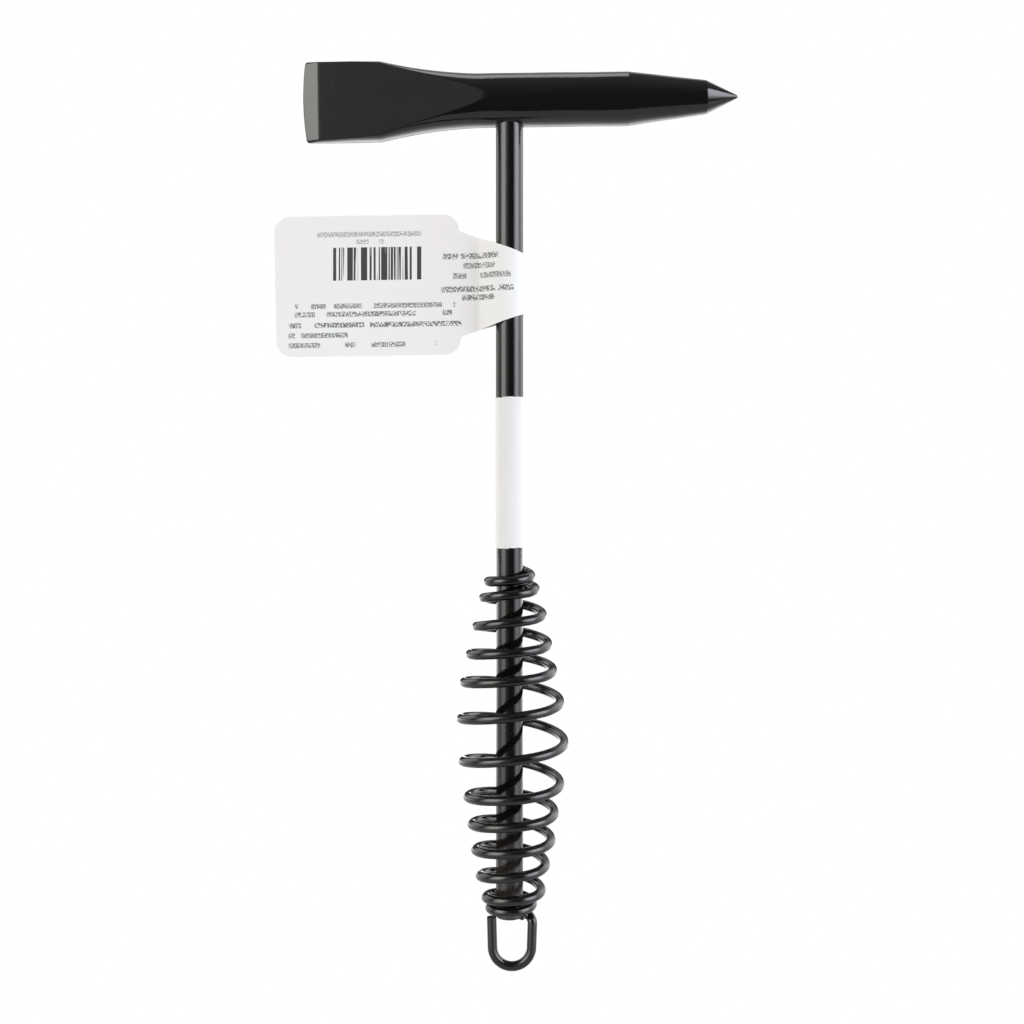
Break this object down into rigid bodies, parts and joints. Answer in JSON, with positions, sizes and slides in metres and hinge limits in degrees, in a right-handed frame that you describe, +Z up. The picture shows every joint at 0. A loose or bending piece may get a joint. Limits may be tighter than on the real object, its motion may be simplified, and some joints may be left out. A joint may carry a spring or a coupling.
{
  "type": "chipping hammer",
  "caption": "Steel chipping hammer: forged head with a broad chisel and a point, round rod handle, barrel-shaped spring grip ending in a hanging loop, paper band and flag tag.",
  "frame": {"origin": "on the handle rod's axis at the middle of the spring grip, where the hand closes", "axes": "+Z up the handle towards the head, -X towards the chisel, +X towards the point, -Y the front that shows the tag's face"},
  "size_m": [0.1491, 0.036, 0.2926],
  "materials": {
    "head_enamel": "gloss black enamel over forged steel",
    "rod_enamel": "gloss black enamel over drawn steel rod",
    "spring_enamel": "gloss black enamel over spring wire",
    "weld_enamel": "enamelled weld bead",
    "band_paper": "matte white coated paper",
    "tag_card": "satin white card",
    "sticker_paper": "satin white sticker"
  },
  "bodies": {
    "root": {"head": "head_enamel", "handle_rod": "rod_enamel", "grip_spring": "spring_enamel", "head_weld": "weld_enamel", "spring_top_weld": "weld_enamel", "spring_low_weld": "weld_enamel", "band_label": "band_paper", "tag": "tag_card", "tag_sticker": "sticker_paper"}
  },
  "joints": []
}
